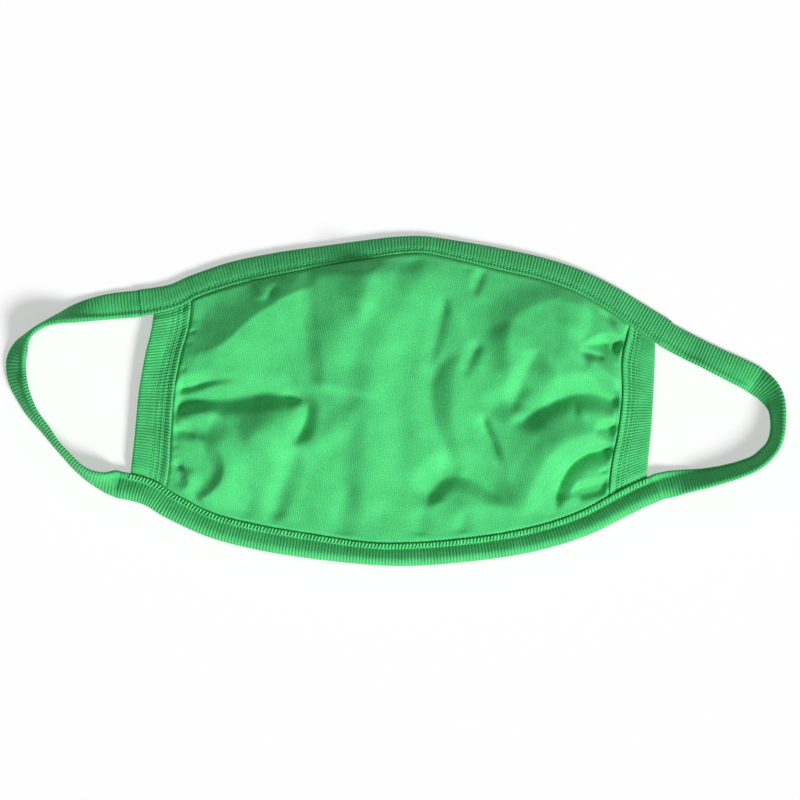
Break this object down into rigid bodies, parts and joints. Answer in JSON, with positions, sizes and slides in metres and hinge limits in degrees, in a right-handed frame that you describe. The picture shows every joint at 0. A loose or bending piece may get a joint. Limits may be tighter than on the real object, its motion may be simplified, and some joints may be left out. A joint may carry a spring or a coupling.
{
  "type": "cotton face mask",
  "caption": "Reusable jersey face mask lying flat: a gathered cloth body between two ribbed side bands, with ribbed edge bindings that run on as the ear loops.",
  "frame": {"origin": "bottom centre of the mask's bounding box, on the surface that it lies on", "axes": "+X from ear loop to ear loop, +Y towards the top (nose) edge, +Z out of the outer face of the mask, away from the surface that it lies on"},
  "size_m": [0.3122, 0.1324, 0.0164],
  "materials": {
    "jersey": "matte two-ply cotton jersey, fine vertical wales",
    "side_rib": "matte folded rib knit, ribs across the band, coverstitched",
    "binding_rib": "matte folded rib knit, ribs across the strip, coverstitched"
  },
  "bodies": {
    "root": {"body_panel": "jersey", "side_band_left": "side_rib", "side_band_right": "side_rib", "top_binding": "binding_rib", "bottom_binding": "binding_rib", "ear_loop_left": "binding_rib", "ear_loop_right": "binding_rib"}
  },
  "joints": []
}
